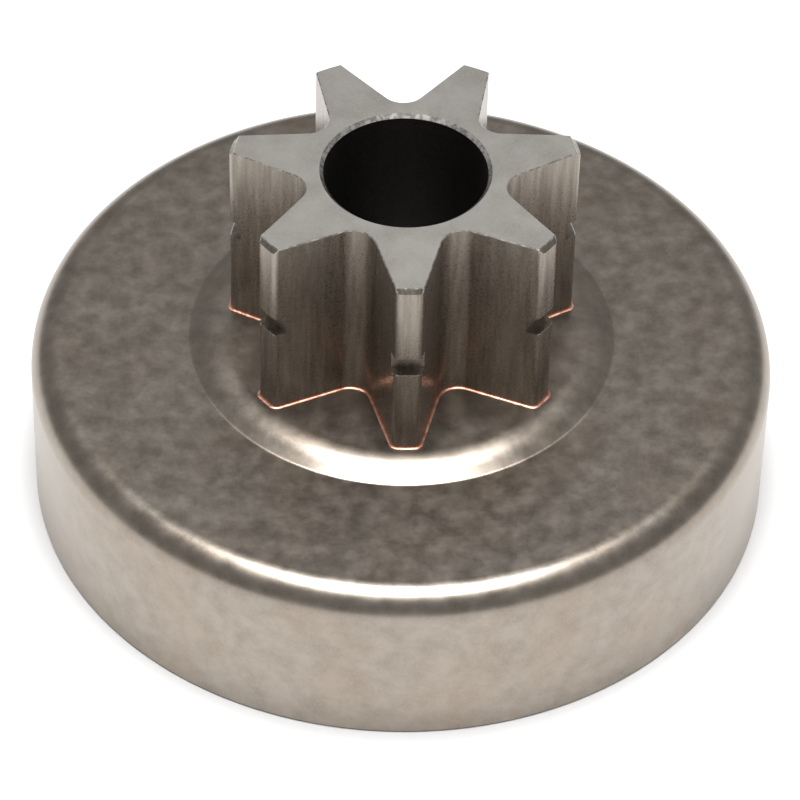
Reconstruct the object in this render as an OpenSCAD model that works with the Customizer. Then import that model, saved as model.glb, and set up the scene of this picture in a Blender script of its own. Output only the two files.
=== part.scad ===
// Clutch drum of a chainsaw: a cup drawn from steel sheet, with a toothed sprocket brazed
// into the star-shaped hole in its middle. The drum stands on its open rim, the sprocket
// points up, and one tooth points to the front, towards -Y.

/* [Drum cup] */
// Outside diameter of the wall
drum_d = 74; // [66:0.5:90]
// Height of the flat web above the open rim
drum_h = 18; // [12:0.5:26]
// Thickness of the steel sheet
sheet_t = 2; // [1.2:0.1:2.6]
// Outside radius of the shoulder, where the web turns down into the wall
shoulder_r = 3; // [2.8:0.1:6]
// Edge break on the outside of the open rim
rim_break = 0.3; // [0.1:0.05:0.5]
// Lead-in chamfer on the inside of the open rim
rim_lead = 0.5; // [0.1:0.05:0.6]

/* [Raised boss] */
// Height of the boss above the web
boss_h = 1.2; // [0.6:0.1:2.4]
// Width of the flat that is left between the braze bead and the boss's round edge
boss_land = 0.1; // [0.05:0.05:2]
// Steepest slope of the boss's side
boss_slope = 30; // [20:1:45]
// Radius of the round upper edge
boss_edge_r = 5.4; // [3:0.1:8]
// Radius of the small hollow at the foot
boss_foot_r = 0.65; // [0.3:0.05:1.5]

/* [Sprocket] */
// Number of teeth
teeth = 7; // [6:1:9]
// Diameter over the tips of the teeth
tip_d = 34.6; // [30:0.2:40]
// Width of a tooth at the tip circle, before its corners are rounded
tip_w = 2.5; // [1.8:0.1:4]
// Slope of each flank to the centre line of its tooth
flank_slope = 15.5; // [10:0.5:22]
// Radius of the gullet between two teeth
gullet_r = 2.25; // [1.2:0.05:3.2]
// Radius on the two long corners of each tip
tip_corner_r = 0.65; // [0.2:0.05:1]
// Chamfer turned on the tips at both ends of the sprocket
tip_chamfer = 0.47; // [0.1:0.01:0.7]
// Length of the teeth above the boss
tooth_len = 20.7; // [14:0.1:30]
// Length of the sprocket that stands out inside the cup
inner_len = 0.8; // [0.5:0.1:3]

/* [Bearing bore] */
// Diameter of the bore, in which the needle cage runs
bore_d = 16; // [12:0.1:17]
// Chamfer at both ends of the bore
bore_chamfer = 0.37; // [0.1:0.01:0.5]

/* [Groove in the tips] */
// Height of the groove's lower edge above the boss
groove_rise = 9.7; // [3:0.1:16]
// Width of the groove along the axis
groove_w = 2.05; // [0.8:0.05:3.5]
// Depth of the groove below the tips
groove_depth = 1.15; // [0.4:0.05:2.5]

/* [Braze] */
// Gap between the sprocket and the hole in the cup, which the braze fills
braze_gap = 0.12; // [0.06:0.01:0.25]
// Width of the bead on each face of the sheet, from the flank of the teeth
bead_w = 0.26; // [0.26:0.01:0.6]
// Height of the bead on each face of the sheet
bead_h = 0.16; // [0.1:0.01:0.4]

/* [Hidden] */

$fn = 180;
steel_sheet = [0.44, 0.41, 0.37];
steel_teeth = [0.33, 0.31, 0.29];
copper = [0.78, 0.42, 0.29];

// How far a cutting shape runs past the surface that it cuts
overcut = 1;
// Straight pieces in each round stretch
shoulder_steps = 10;
boss_steps = 5;
corner_steps = 5;
gullet_steps = 12;

// Radii
drum_r = drum_d / 2;
wall_r = drum_r - sheet_t;
tip_r = tip_d / 2;
bore_r = bore_d / 2;

// Levels, from the open rim up
boss_z = drum_h + boss_h;
inner_z = boss_z - sheet_t;
foot_z = inner_z - inner_len;
top_z = boss_z + tooth_len;
groove_z = boss_z + groove_rise;

// Side of the boss: it turns over its round edge by boss_turn, runs down a straight
// stretch and turns back over the hollow at its foot. A low boss turns less.
boss_radii = boss_edge_r + boss_foot_r;
boss_turn = min(boss_slope, acos(1 - boss_h / boss_radii));
boss_straight = (boss_h - boss_radii * (1 - cos(boss_turn))) / sin(boss_turn);
boss_top_r = tip_r + bead_w + boss_land;
boss_foot_at = boss_top_r + boss_radii * sin(boss_turn) + boss_straight * cos(boss_turn);

// One tooth, with its centre line along +X. Each flank lies flank_dist from the centre of
// the drum, and gullet_at and corner_at are the centres of the arcs that touch it.
pitch = 360 / teeth;
corner_r = min(tip_corner_r, 0.4 * tip_w);
flank_dist = tip_r * sin(flank_slope) + tip_w / 2 * cos(flank_slope);
gullet_at = (flank_dist + gullet_r) / sin(flank_slope + pitch / 2)
    * [cos(pitch / 2), sin(pitch / 2)];
corner_run = sqrt(pow(tip_r - corner_r, 2) - pow(flank_dist - corner_r, 2));
corner_at = [
    (flank_dist - corner_r) * sin(flank_slope) + corner_run * cos(flank_slope),
    (flank_dist - corner_r) * cos(flank_slope) - corner_run * sin(flank_slope)
];
corner_angle = atan2(corner_at[1], corner_at[0]);

// Points of an arc round a centre, from one angle to another
function arc(centre, r, from, to, steps) = [
    for (i = [0 : steps])
        let (a = from + (to - from) * i / steps)
        centre + r * [cos(a), sin(a)]
];

function turned(p, a) = [p[0] * cos(a) - p[1] * sin(a), p[0] * sin(a) + p[1] * cos(a)];

// A tooth and the gullet after it, with the outline moved outwards by grow
function tooth_points(grow) = concat(
    arc([corner_at[0], -corner_at[1]], corner_r + grow, flank_slope - 90, -corner_angle, corner_steps),
    [[tip_r + grow, 0]],
    arc(corner_at, corner_r + grow, corner_angle, 90 - flank_slope, corner_steps),
    arc(gullet_at, gullet_r - grow, 270 - flank_slope, 90 + pitch + flank_slope, gullet_steps)
);

// The whole star, from the tooth at the front round to the right
function star_points(grow) = [
    for (i = [0 : teeth - 1])
        for (p = tooth_points(grow))
            turned(p, i * pitch - 90)
];

module star_prism(grow, from_z, to_z) {
    translate([0, 0, from_z])
        linear_extrude(height = to_z - from_z)
            polygon(star_points(grow));
}

// Half section of the drawn sheet: its outside down to the rim, and its inside back up
module sheet_section() {
    shoulder_at = [drum_r - shoulder_r, drum_h - shoulder_r];
    edge_at = [boss_top_r, boss_z - boss_edge_r];
    foot_at = [boss_foot_at, drum_h + boss_foot_r];
    polygon(concat(
        [[0, boss_z]],
        arc(edge_at, boss_edge_r, 90, 90 - boss_turn, boss_steps),
        arc(foot_at, boss_foot_r, 270 - boss_turn, 270, boss_steps),
        arc(shoulder_at, shoulder_r, 90, 0, shoulder_steps),
        [[drum_r, rim_break], [drum_r - rim_break, 0], [wall_r + rim_lead, 0], [wall_r, rim_lead]],
        arc(shoulder_at, shoulder_r - sheet_t, 0, 90, shoulder_steps),
        arc(foot_at, boss_foot_r + sheet_t, 270, 270 - boss_turn, boss_steps),
        arc(edge_at, boss_edge_r - sheet_t, 90 - boss_turn, 90, boss_steps),
        [[0, inner_z]]
    ));
}

// Outline that the blank of the sprocket is turned to, up to well outside the teeth
module blank_section() {
    polygon([
        [0, foot_z],
        [tip_r - tip_chamfer, foot_z],
        [tip_r + overcut, foot_z + tip_chamfer + overcut],
        [tip_r + overcut, top_z - tip_chamfer - overcut],
        [tip_r - tip_chamfer, top_z],
        [0, top_z]
    ]);
}

// Section of the groove that runs round all the tips
module groove_section() {
    translate([tip_r - groove_depth, groove_z])
        square([groove_depth + overcut, groove_w]);
}

// Section of the bore, opened out by a chamfer at both ends
module bore_section() {
    mouth_r = bore_r + bore_chamfer + overcut;
    polygon([
        [0, foot_z - overcut],
        [mouth_r, foot_z - overcut],
        [bore_r, foot_z + bore_chamfer],
        [bore_r, top_z - bore_chamfer],
        [mouth_r, top_z + overcut],
        [0, top_z + overcut]
    ]);
}

module drum_cup() {
    color(steel_sheet)
        difference() {
            rotate_extrude() sheet_section();
            star_prism(braze_gap, inner_z - overcut, boss_z + overcut);
        }
}

module sprocket() {
    color(steel_teeth)
        difference() {
            intersection() {
                star_prism(0, foot_z - overcut, top_z + overcut);
                rotate_extrude() blank_section();
            }
            rotate_extrude() groove_section();
            rotate_extrude() bore_section();
        }
}

module braze_joint() {
    color(copper)
        difference() {
            union() {
                star_prism(braze_gap, inner_z - bead_h, boss_z + bead_h);
                star_prism(bead_w, boss_z, boss_z + bead_h);
                star_prism(bead_w, inner_z - bead_h, inner_z);
            }
            star_prism(0, inner_z - bead_h - overcut, boss_z + bead_h + overcut);
        }
}

drum_cup();
sprocket();
braze_joint();
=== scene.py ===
"""Looks of the clutch drum: its three pieces as fine meshes, their finishes, and a plain studio.

Lengths that describe the part are in millimetres, and MM turns them into metres.
"""

from math import acos, atan2, cos, degrees, hypot, pi, radians, sin, sqrt

import bmesh
import bpy
from mathutils import Matrix, Quaternion, Vector, noise


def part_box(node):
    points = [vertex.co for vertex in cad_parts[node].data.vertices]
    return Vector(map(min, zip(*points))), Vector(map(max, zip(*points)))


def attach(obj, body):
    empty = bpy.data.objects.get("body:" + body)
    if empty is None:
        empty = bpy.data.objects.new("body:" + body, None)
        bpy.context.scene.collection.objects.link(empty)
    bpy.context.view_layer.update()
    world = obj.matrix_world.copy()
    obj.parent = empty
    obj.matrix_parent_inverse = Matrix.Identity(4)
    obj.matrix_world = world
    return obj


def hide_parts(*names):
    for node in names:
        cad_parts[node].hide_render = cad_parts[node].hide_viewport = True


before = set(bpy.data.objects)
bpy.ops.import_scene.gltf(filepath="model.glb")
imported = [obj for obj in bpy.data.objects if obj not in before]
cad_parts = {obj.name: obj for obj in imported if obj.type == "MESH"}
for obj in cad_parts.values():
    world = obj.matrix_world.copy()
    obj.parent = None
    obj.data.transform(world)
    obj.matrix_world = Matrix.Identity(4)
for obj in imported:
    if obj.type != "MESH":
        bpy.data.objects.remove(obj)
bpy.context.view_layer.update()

MM = 0.001

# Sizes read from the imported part
cup_low, cup_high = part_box("drum_cup")
teeth_low, teeth_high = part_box("sprocket")
braze_low, braze_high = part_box("braze_joint")
DRUM_R = cup_high.x / MM
BOSS_Z = cup_high.z / MM
TOP_Z = teeth_high.z / MM
FOOT_Z = teeth_low.z / MM
TIP_R = -teeth_low.y / MM
BEAD_W = -braze_low.y / MM - TIP_R
BEAD_H = braze_high.z / MM - BOSS_Z
INNER_Z = braze_low.z / MM + BEAD_H
SHEET = BOSS_Z - INNER_Z

# Section of the cup
BOSS_H = 1.2
WEB_Z = BOSS_Z - BOSS_H
BOSS_LAND = 0.1
BOSS_TOP_R = TIP_R + BEAD_W + BOSS_LAND
BOSS_EDGE_R = 5.4
BOSS_FOOT_R = 0.65
BOSS_SLOPE = radians(30)
SHOULDER_R = 3.0
RIM_BREAK = 0.3
RIM_LEAD = 0.5

# Outline and turned features of the sprocket
TEETH = 7
TIP_W = 2.5
FLANK_SLOPE = radians(15.5)
GULLET_R = 2.25
TIP_CORNER_R = 0.65
TIP_CHAMFER = 0.47
BORE_R = 8.0
BORE_CHAMFER = 0.37
GROOVE_Z = BOSS_Z + 9.7
GROOVE_W = 2.05
GROOVE_R = TIP_R - 1.15
EDGE_BREAK = 0.1
BRAZE_GAP = 0.12

# The photograph's camera: it looks at a point on the drum's axis
LOOK_AT_Z = 8.91
CAMERA_DISTANCE = 457.8
CAMERA_ELEVATION = radians(44.135)
CAMERA_AZIMUTH = radians(-2.3)
CAMERA_ROLL = radians(1.49)
LENS = 203.5

PITCH = 2 * pi / TEETH
ROUND_STEPS = 288


def arc(centre, radius, start, end, steps):
    """Points of an arc, both ends included."""
    angles = [start + (end - start) * i / steps for i in range(steps + 1)]
    return [(centre[0] + radius * cos(a), centre[1] + radius * sin(a)) for a in angles]


def turned(point, angle):
    return (
        point[0] * cos(angle) - point[1] * sin(angle),
        point[0] * sin(angle) + point[1] * cos(angle),
    )


def tooth_points(grow):
    """One tooth along +X and the gullet after it, moved outwards by grow. Every grow gives as many points."""
    normal = (sin(FLANK_SLOPE), cos(FLANK_SLOPE))
    along = (cos(FLANK_SLOPE), -sin(FLANK_SLOPE))
    flank = TIP_R * normal[0] + TIP_W / 2 * normal[1]
    gullet_at = (flank + GULLET_R) / sin(FLANK_SLOPE + PITCH / 2)
    gullet = (gullet_at * cos(PITCH / 2), gullet_at * sin(PITCH / 2))
    corner_run = sqrt((TIP_R - TIP_CORNER_R) ** 2 - (flank - TIP_CORNER_R) ** 2)
    corner = [(flank - TIP_CORNER_R) * n + corner_run * t for n, t in zip(normal, along)]
    corner_angle = atan2(corner[1], corner[0])

    inner_run = gullet[0] * along[0] + gullet[1] * along[1]
    groove_run = sqrt(GROOVE_R**2 - (flank + grow) ** 2)
    runs = [corner_run + (groove_run - corner_run) / 2, groove_run]
    runs += [groove_run + (inner_run - groove_run) * k / 4 for k in (1, 2, 3)]
    upper_flank = [tuple((flank + grow) * n + run * t for n, t in zip(normal, along)) for run in runs]
    lower_flank = [(x, -y) for x, y in reversed(upper_flank)]

    tip = arc((0, 0), TIP_R + grow, -corner_angle, corner_angle, 6)
    upper_corner = arc(corner, TIP_CORNER_R + grow, corner_angle, pi / 2 - FLANK_SLOPE, 8)
    lower_corner = [(x, -y) for x, y in reversed(upper_corner)]
    hollow = arc(gullet, GULLET_R - grow, 1.5 * pi - FLANK_SLOPE, pi / 2 + PITCH + FLANK_SLOPE, 32)
    return lower_flank + lower_corner + tip[1:-1] + upper_corner + upper_flank + hollow


def star_ring(grow, z, cap=None):
    """The sprocket's outline at a level, cut back to the radius cap."""
    ring = []
    for i in range(TEETH):
        for p in tooth_points(grow):
            x, y = turned(p, i * PITCH - pi / 2)
            k = min(1, cap / hypot(x, y)) if cap else 1
            ring.append((x * k, y * k, z))
    return ring


def circle_ring(radius, z, like):
    """A circle with a point at the polar angle of each point of another ring."""
    return [(radius * x / hypot(x, y), radius * y / hypot(x, y), z) for x, y, _ in like]


def lofted(bm, rings, closed=True):
    """Faces between each ring and the next, and with closed from the last to the first. Returns them by strip."""
    loops = [[bm.verts.new(Vector(p) * MM) for p in ring] for ring in rings]
    strips = []
    for a, b in zip(loops, loops[1:] + loops[:1] if closed else loops[1:]):
        n = len(a)
        strips.append([bm.faces.new((a[i], a[(i + 1) % n], b[(i + 1) % n], b[i])) for i in range(n)])
    return loops, strips


def piece(name, bm, materials, node, sharp=35):
    """Turns a bmesh into a piece that stands for a CAD node."""
    bmesh.ops.recalc_face_normals(bm, faces=bm.faces)
    mesh = bpy.data.meshes.new(name)
    bm.to_mesh(mesh)
    bm.free()
    mesh.shade_smooth()
    mesh.set_sharp_from_angle(angle=radians(sharp))
    for material in materials:
        mesh.materials.append(material)
    obj = bpy.data.objects.new(name, mesh)
    bpy.context.scene.collection.objects.link(obj)
    flat = obj.modifiers.new("flat_faces_first", "WEIGHTED_NORMAL")
    flat.keep_sharp = True
    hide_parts(node)
    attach(obj, "root")
    return obj


def cup_profile():
    """The cup's section from the boss's round edge, over the outside and the rim, back up the inside."""
    radii = BOSS_EDGE_R + BOSS_FOOT_R
    turn = min(BOSS_SLOPE, acos(1 - BOSS_H / radii))
    straight = (BOSS_H - radii * (1 - cos(turn))) / sin(turn)
    edge_at = (BOSS_TOP_R, BOSS_Z - BOSS_EDGE_R)
    foot_at = (BOSS_TOP_R + radii * sin(turn) + straight * cos(turn), WEB_Z + BOSS_FOOT_R)
    shoulder_at = (DRUM_R - SHOULDER_R, WEB_Z - SHOULDER_R)
    wall_r = DRUM_R - SHEET
    outside = arc(edge_at, BOSS_EDGE_R, pi / 2, pi / 2 - turn, 10)
    outside += arc(foot_at, BOSS_FOOT_R, 1.5 * pi - turn, 1.5 * pi, 6)
    outside += arc(shoulder_at, SHOULDER_R, pi / 2, 0, 24)
    rim = arc((DRUM_R - RIM_BREAK, RIM_BREAK), RIM_BREAK, 0, -pi / 2, 4)
    rim += [(wall_r + RIM_LEAD, 0), (wall_r, RIM_LEAD)]
    inside = arc(shoulder_at, SHOULDER_R - SHEET, 0, pi / 2, 10)
    inside += arc(foot_at, BOSS_FOOT_R + SHEET, 1.5 * pi, 1.5 * pi - turn, 6)
    inside += arc(edge_at, BOSS_EDGE_R - SHEET, pi / 2 - turn, pi / 2, 6)
    return outside + rim + inside


def make_cup(materials):
    bm = bmesh.new()
    steps = [2 * pi * i / ROUND_STEPS for i in range(ROUND_STEPS)]
    rings = [[(r * cos(a), r * sin(a), z) for a in steps] for r, z in cup_profile()]
    loops, _ = lofted(bm, rings, closed=False)
    hole, _ = lofted(bm, [star_ring(BRAZE_GAP, BOSS_Z), star_ring(BRAZE_GAP, INNER_Z)], closed=False)
    for outer, inner in ((loops[0], hole[0]), (loops[-1], hole[1])):
        border = [bm.edges.get((ring[i - 1], ring[i])) for ring in (outer, inner) for i in range(len(ring))]
        bmesh.ops.triangle_fill(bm, edges=border, use_beauty=True)
    return piece("drum_shell", bm, materials, "drum_cup")


def make_sprocket(materials):
    """The toothed body. Its materials are the flanks, end faces, broken edges and bore, in that order."""
    e = EDGE_BREAK
    chamfer_r = TIP_R - TIP_CHAMFER
    rings = [
        star_ring(-e, FOOT_Z, chamfer_r - e),
        star_ring(0, FOOT_Z + e, chamfer_r),
        star_ring(0, FOOT_Z + TIP_CHAMFER, TIP_R),
        star_ring(0, GROOVE_Z - e, TIP_R),
        star_ring(0, GROOVE_Z, TIP_R - e),
        star_ring(0, GROOVE_Z, GROOVE_R),
        star_ring(0, GROOVE_Z + GROOVE_W, GROOVE_R),
        star_ring(0, GROOVE_Z + GROOVE_W, TIP_R - e),
        star_ring(0, GROOVE_Z + GROOVE_W + e, TIP_R),
        star_ring(0, TOP_Z - TIP_CHAMFER, TIP_R),
        star_ring(0, TOP_Z - e, chamfer_r + e),
        star_ring(-e, TOP_Z, chamfer_r),
    ]
    like = rings[-1]
    rings += [
        circle_ring(BORE_R + BORE_CHAMFER, TOP_Z, like),
        circle_ring(BORE_R, TOP_Z - BORE_CHAMFER, like),
        circle_ring(BORE_R, FOOT_Z + BORE_CHAMFER, like),
        circle_ring(BORE_R + BORE_CHAMFER, FOOT_Z, like),
    ]
    bm = bmesh.new()
    _, strips = lofted(bm, rings)
    finish = {0: 2, 10: 2, 11: 1, 12: 2, 13: 3, 14: 2, 15: 1}
    for number, strip in enumerate(strips):
        for face in strip:
            face.material_index = finish.get(number, 0)
    bmesh.ops.dissolve_degenerate(bm, dist=1e-7, edges=bm.edges)
    return piece("sprocket_body", bm, materials, "sprocket")


def make_braze(material):
    """The braze: a sleeve in the gap, with a hollow fillet of uneven size on each face of the sheet."""
    steps = 5
    fillet = [(BEAD_W * (1 - cos(a)), BEAD_H * (1 - sin(a))) for a in
              (pi / 2 * i / steps for i in range(steps + 1))]
    levels = [(w, BOSS_Z + h) for w, h in fillet] + [(BRAZE_GAP, BOSS_Z), (BRAZE_GAP, INNER_Z)]
    levels += [(w, INNER_Z - h) for w, h in reversed(fillet)]
    bm = bmesh.new()
    lofted(bm, [star_ring(grow, z) for grow, z in levels])
    return piece("braze_bead", bm, [material], "braze_joint")


class Shader:
    """A short way to write a material's nodes."""

    def __init__(self, name):
        self.material = bpy.data.materials.new(name)
        self.material.use_nodes = True
        self.tree = self.material.node_tree
        self.surface = self.tree.nodes["Principled BSDF"]

    def node(self, kind, **inputs):
        made = self.tree.nodes.new("ShaderNode" + kind)
        for key, value in inputs.items():
            self.set(made, key, value)
        return made

    def set(self, node, key, value):
        """Gives a socket a value or a link, or sets the node's own option of that name."""
        if isinstance(key, str) and hasattr(node, key) and key not in node.inputs:
            setattr(node, key, value)
            return
        socket = node.inputs[key]
        if isinstance(value, bpy.types.NodeSocket):
            self.tree.links.new(value, socket)
        else:
            socket.default_value = value

    def position(self, stretch=(1, 1, 1)):
        """The place on the object in millimetres, squeezed along the axes by stretch."""
        at = self.node("TexCoord").outputs["Object"]
        scale = self.node("VectorMath", operation="MULTIPLY")
        self.set(scale, 0, at)
        self.set(scale, 1, [s / MM for s in stretch])
        return scale.outputs[0]

    def noise(self, size, detail=4, roughness=0.5, stretch=(1, 1, 1), at=None):
        """Noise with patches of about the given size in millimetres."""
        made = self.node("TexNoise", Scale=1 / size, Detail=detail, Roughness=roughness)
        self.set(made, "Vector", at or self.position(stretch))
        return made.outputs["Fac"]

    def spread(self, value, low, high, to_low=0.0, to_high=1.0):
        """Maps low..high to to_low..to_high and holds it there."""
        made = self.node("MapRange", Value=value)
        for key, number in (("From Min", low), ("From Max", high), ("To Min", to_low), ("To Max", to_high)):
            self.set(made, key, number)
        return made.outputs[0]

    def mix(self, share, a, b):
        """Colour a where share is 0 and b where it is 1."""
        made = self.node("Mix", data_type="RGBA")
        self.set(made, 0, share)
        for index, colour in ((6, a), (7, b)):
            self.set(made, index, (*colour, 1) if isinstance(colour, tuple) else colour)
        return made.outputs[2]

    def sum(self, a, b, operation="ADD"):
        made = self.node("Math", operation=operation)
        self.set(made, 0, a)
        self.set(made, 1, b)
        return made.outputs[0]

    def bump(self, height, depth, under=None):
        """A relief whose height 0..1 stands for depth millimetres."""
        made = self.node("Bump", Height=height, Distance=depth * MM)
        if under:
            self.set(made, "Normal", under)
        return made.outputs[0]

    def done(self, **inputs):
        for key, value in inputs.items():
            self.set(self.surface, key.replace("_", " "), value)
        return self.material


def sheet_steel():
    s = Shader("sheet_steel")
    mottle = s.noise(2.2, detail=6, roughness=0.6)
    grain = s.noise(0.22, detail=3, roughness=0.7)
    stain = s.noise(9.0, detail=3)
    colour = s.mix(s.spread(mottle, 0.35, 0.65), (0.27, 0.23, 0.19), (0.36, 0.315, 0.27))
    colour = s.mix(s.spread(stain, 0.45, 0.7, 0.0, 0.35), colour, (0.30, 0.22, 0.15))
    colour = s.mix(s.spread(grain, 0.3, 0.7, 0.0, 0.35), colour, (0.42, 0.38, 0.34))
    rough = s.spread(mottle, 0.3, 0.7, 0.27, 0.36)
    relief = s.bump(grain, 0.004)
    relief = s.bump(mottle, 0.012, relief)
    return s.done(Base_Color=colour, Metallic=1.0, Roughness=rough, Normal=relief)


def flank_steel():
    s = Shader("flank_steel")
    streak = s.noise(0.5, detail=5, stretch=(1, 1, 0.08))
    grain = s.noise(0.25, detail=3, roughness=0.7)
    colour = s.mix(s.spread(streak, 0.35, 0.65), (0.26, 0.225, 0.19), (0.36, 0.32, 0.28))
    rough = s.spread(grain, 0.3, 0.7, 0.24, 0.34)
    relief = s.bump(grain, 0.003)
    relief = s.bump(streak, 0.004, relief)
    return s.done(Base_Color=colour, Metallic=1.0, Roughness=rough, Normal=relief)


def end_face_steel():
    s = Shader("end_face_steel")
    grain = s.noise(0.18, detail=4, roughness=0.7)
    patch = s.noise(3.0, detail=4)
    colour = s.mix(s.spread(patch, 0.35, 0.65), (0.29, 0.275, 0.25), (0.36, 0.345, 0.32))
    colour = s.mix(s.spread(grain, 0.35, 0.75, 0.0, 0.5), colour, (0.46, 0.44, 0.41))
    relief = s.bump(grain, 0.012)
    return s.done(Base_Color=colour, Metallic=1.0, Roughness=0.5, Normal=relief)


def edge_steel():
    s = Shader("edge_steel")
    # The broken edges are painted lighter in patches: partly burnished wear, partly a painted highlight standing
    # for the glint the burrs catch.
    wear_and_highlight = s.noise(0.5, detail=4, roughness=0.6)
    colour = s.mix(s.spread(wear_and_highlight, 0.42, 0.6), (0.35, 0.33, 0.3), (0.75, 0.72, 0.68))
    return s.done(Base_Color=colour, Metallic=1.0, Roughness=0.35, Normal=s.bump(wear_and_highlight, 0.02))


def bore_steel_painted_shade():
    s = Shader("bore_steel_painted_shade")
    streak = s.noise(0.4, detail=4, stretch=(1, 1, 6))
    # The bore is painted nearly black: painted shade for the dark inside of the bore, with streaks of real
    # machining grain.
    colour = s.mix(s.spread(streak, 0.35, 0.65), (0.10, 0.095, 0.09), (0.16, 0.15, 0.14))
    return s.done(Base_Color=colour, Metallic=1.0, Roughness=0.4, Normal=s.bump(streak, 0.004))


def braze_copper():
    s = Shader("braze_copper")
    patch = s.noise(0.8, detail=4)
    colour = s.mix(s.spread(patch, 0.4, 0.65), (0.78, 0.36, 0.24), (0.93, 0.55, 0.42))
    rough = s.spread(patch, 0.3, 0.7, 0.28, 0.42)
    return s.done(Base_Color=colour, Metallic=1.0, Roughness=rough, Normal=s.bump(patch, 0.02))


def pale_floor():
    s = Shader("pale_floor")
    speck = s.noise(1.5, detail=3)
    colour = s.mix(speck, (0.86, 0.86, 0.86), (0.88, 0.88, 0.88))
    return s.done(Base_Color=colour, Roughness=0.9)


def make_floor():
    mesh = bpy.data.meshes.new("floor")
    half = 1.5
    corners = [(-half, -half, 0), (half, -half, 0), (half, half, 0), (-half, half, 0)]
    mesh.from_pydata(corners, [], [(0, 1, 2, 3)])
    mesh.materials.append(pale_floor())
    floor = bpy.data.objects.new("floor", mesh)
    bpy.context.scene.collection.objects.link(floor)


def make_camera():
    camera = bpy.data.cameras.new("camera")
    camera.lens = LENS
    camera.clip_start = 0.01
    obj = bpy.data.objects.new("camera", camera)
    back = Vector((
        cos(CAMERA_ELEVATION) * sin(CAMERA_AZIMUTH),
        -cos(CAMERA_ELEVATION) * cos(CAMERA_AZIMUTH),
        sin(CAMERA_ELEVATION),
    ))
    obj.location = (Vector((0, 0, LOOK_AT_Z)) + back * CAMERA_DISTANCE) * MM
    obj.rotation_mode = "QUATERNION"
    obj.rotation_quaternion = (-back).to_track_quat("-Z", "Y") @ Quaternion((0, 0, 1), CAMERA_ROLL)
    bpy.context.scene.collection.objects.link(obj)
    bpy.context.scene.camera = obj


def softbox(name, azimuth, elevation, distance, width, height, power, colour=(1, 1, 1)):
    """A rectangular lamp that faces the part. Azimuth 0 is the camera's side, and 90 is to the right."""
    lamp = bpy.data.lights.new(name, "AREA")
    lamp.shape = "RECTANGLE"
    lamp.size = width
    lamp.size_y = height
    lamp.energy = power
    lamp.color = colour
    obj = bpy.data.objects.new(name, lamp)
    a, e = radians(azimuth) + CAMERA_AZIMUTH, radians(elevation)
    away = Vector((sin(a) * cos(e), -cos(a) * cos(e), sin(e)))
    obj.location = away * distance
    obj.rotation_mode = "QUATERNION"
    obj.rotation_quaternion = (-away).to_track_quat("-Z", "Y")
    bpy.context.scene.collection.objects.link(obj)


def make_world(level):
    world = bpy.data.worlds.new("studio")
    world.use_nodes = True
    world.node_tree.nodes["Background"].inputs["Color"].default_value = (1, 1, 1, 1)
    world.node_tree.nodes["Background"].inputs["Strength"].default_value = level
    bpy.context.scene.world = world


bpy.context.scene.view_settings.view_transform = "Standard"
make_camera()
make_floor()
make_world(0.3)
softbox("overhead", 0, 88, 0.9, 0.5, 0.5, 12)

make_cup([sheet_steel()])
make_sprocket([flank_steel(), end_face_steel(), edge_steel(), bore_steel_painted_shade()])
make_braze(braze_copper())
